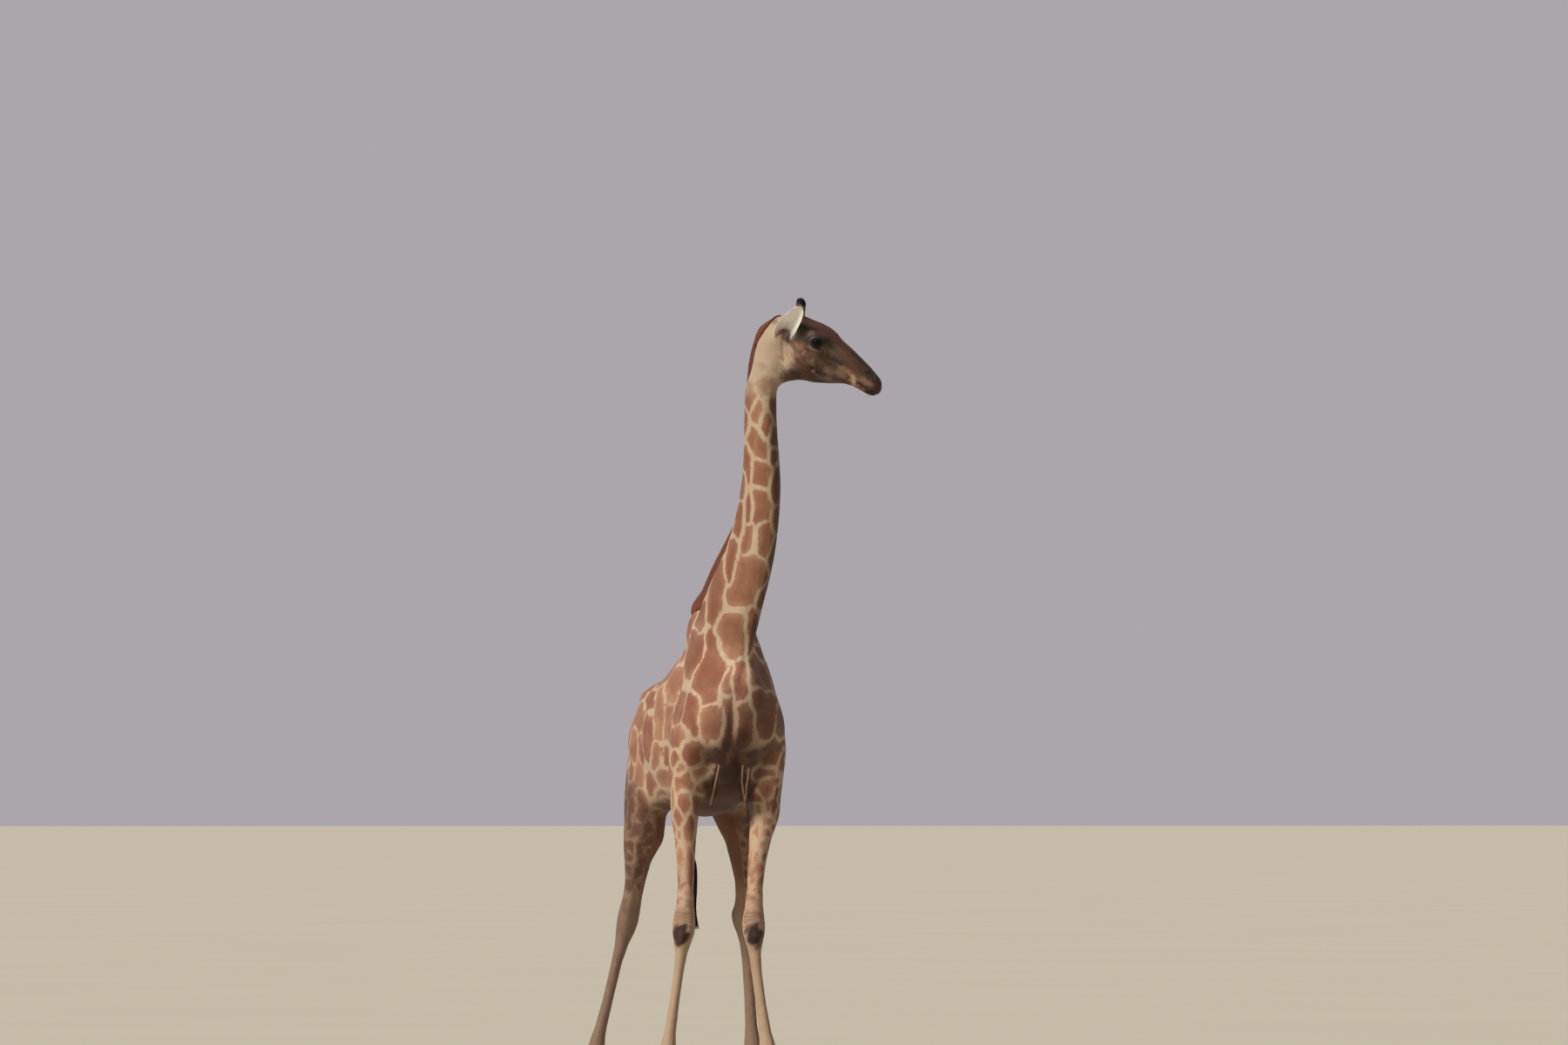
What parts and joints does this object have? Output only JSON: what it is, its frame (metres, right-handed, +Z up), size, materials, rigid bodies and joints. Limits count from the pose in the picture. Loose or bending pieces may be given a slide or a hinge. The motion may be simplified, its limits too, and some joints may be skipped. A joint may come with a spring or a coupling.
{
  "type": "giraffe",
  "caption": "Life-size standing giraffe cow, still model, head turned to its left, with short upright mane, tufted ossicones and tasselled tail.",
  "frame": {"origin": "middle of the bounding box's bottom, on the floor the animal stands on", "axes": "+Z up, the animal faces -Y and its left side is +X; its head is turned to its left"},
  "size_m": [1.2188, 2.5696, 4.3558],
  "materials": {
    "coat": "short-haired hide, tan-brown patches parted by cream lines",
    "ear": "short-haired hide, cream",
    "mane": "short upright hair, reddish brown",
    "tuft": "long hair, nearly black",
    "eye": "wet, very dark",
    "hoof": "worn horn, grey-brown"
  },
  "bodies": {
    "root": {"trunk": "coat", "neck": "coat", "head": "coat", "tail": "coat", "tail_tuft": "tuft", "foreleg_left": "coat", "hoof_foreleg_left_outer": "hoof", "hoof_foreleg_left_inner": "hoof", "foreleg_right": "coat", "hoof_foreleg_right_outer": "hoof", "hoof_foreleg_right_inner": "hoof", "hindleg_left": "coat", "hoof_hindleg_left_outer": "hoof", "hoof_hindleg_left_inner": "hoof", "hindleg_right": "coat", "hoof_hindleg_right_outer": "hoof", "hoof_hindleg_right_inner": "hoof", "mane": "mane", "eye_left": "eye", "ear_left": "ear", "ossicone_left": "coat", "ossicone_tuft_left": "tuft", "eye_right": "eye", "ear_right": "ear", "ossicone_right": "coat", "ossicone_tuft_right": "tuft"}
  },
  "joints": []
}
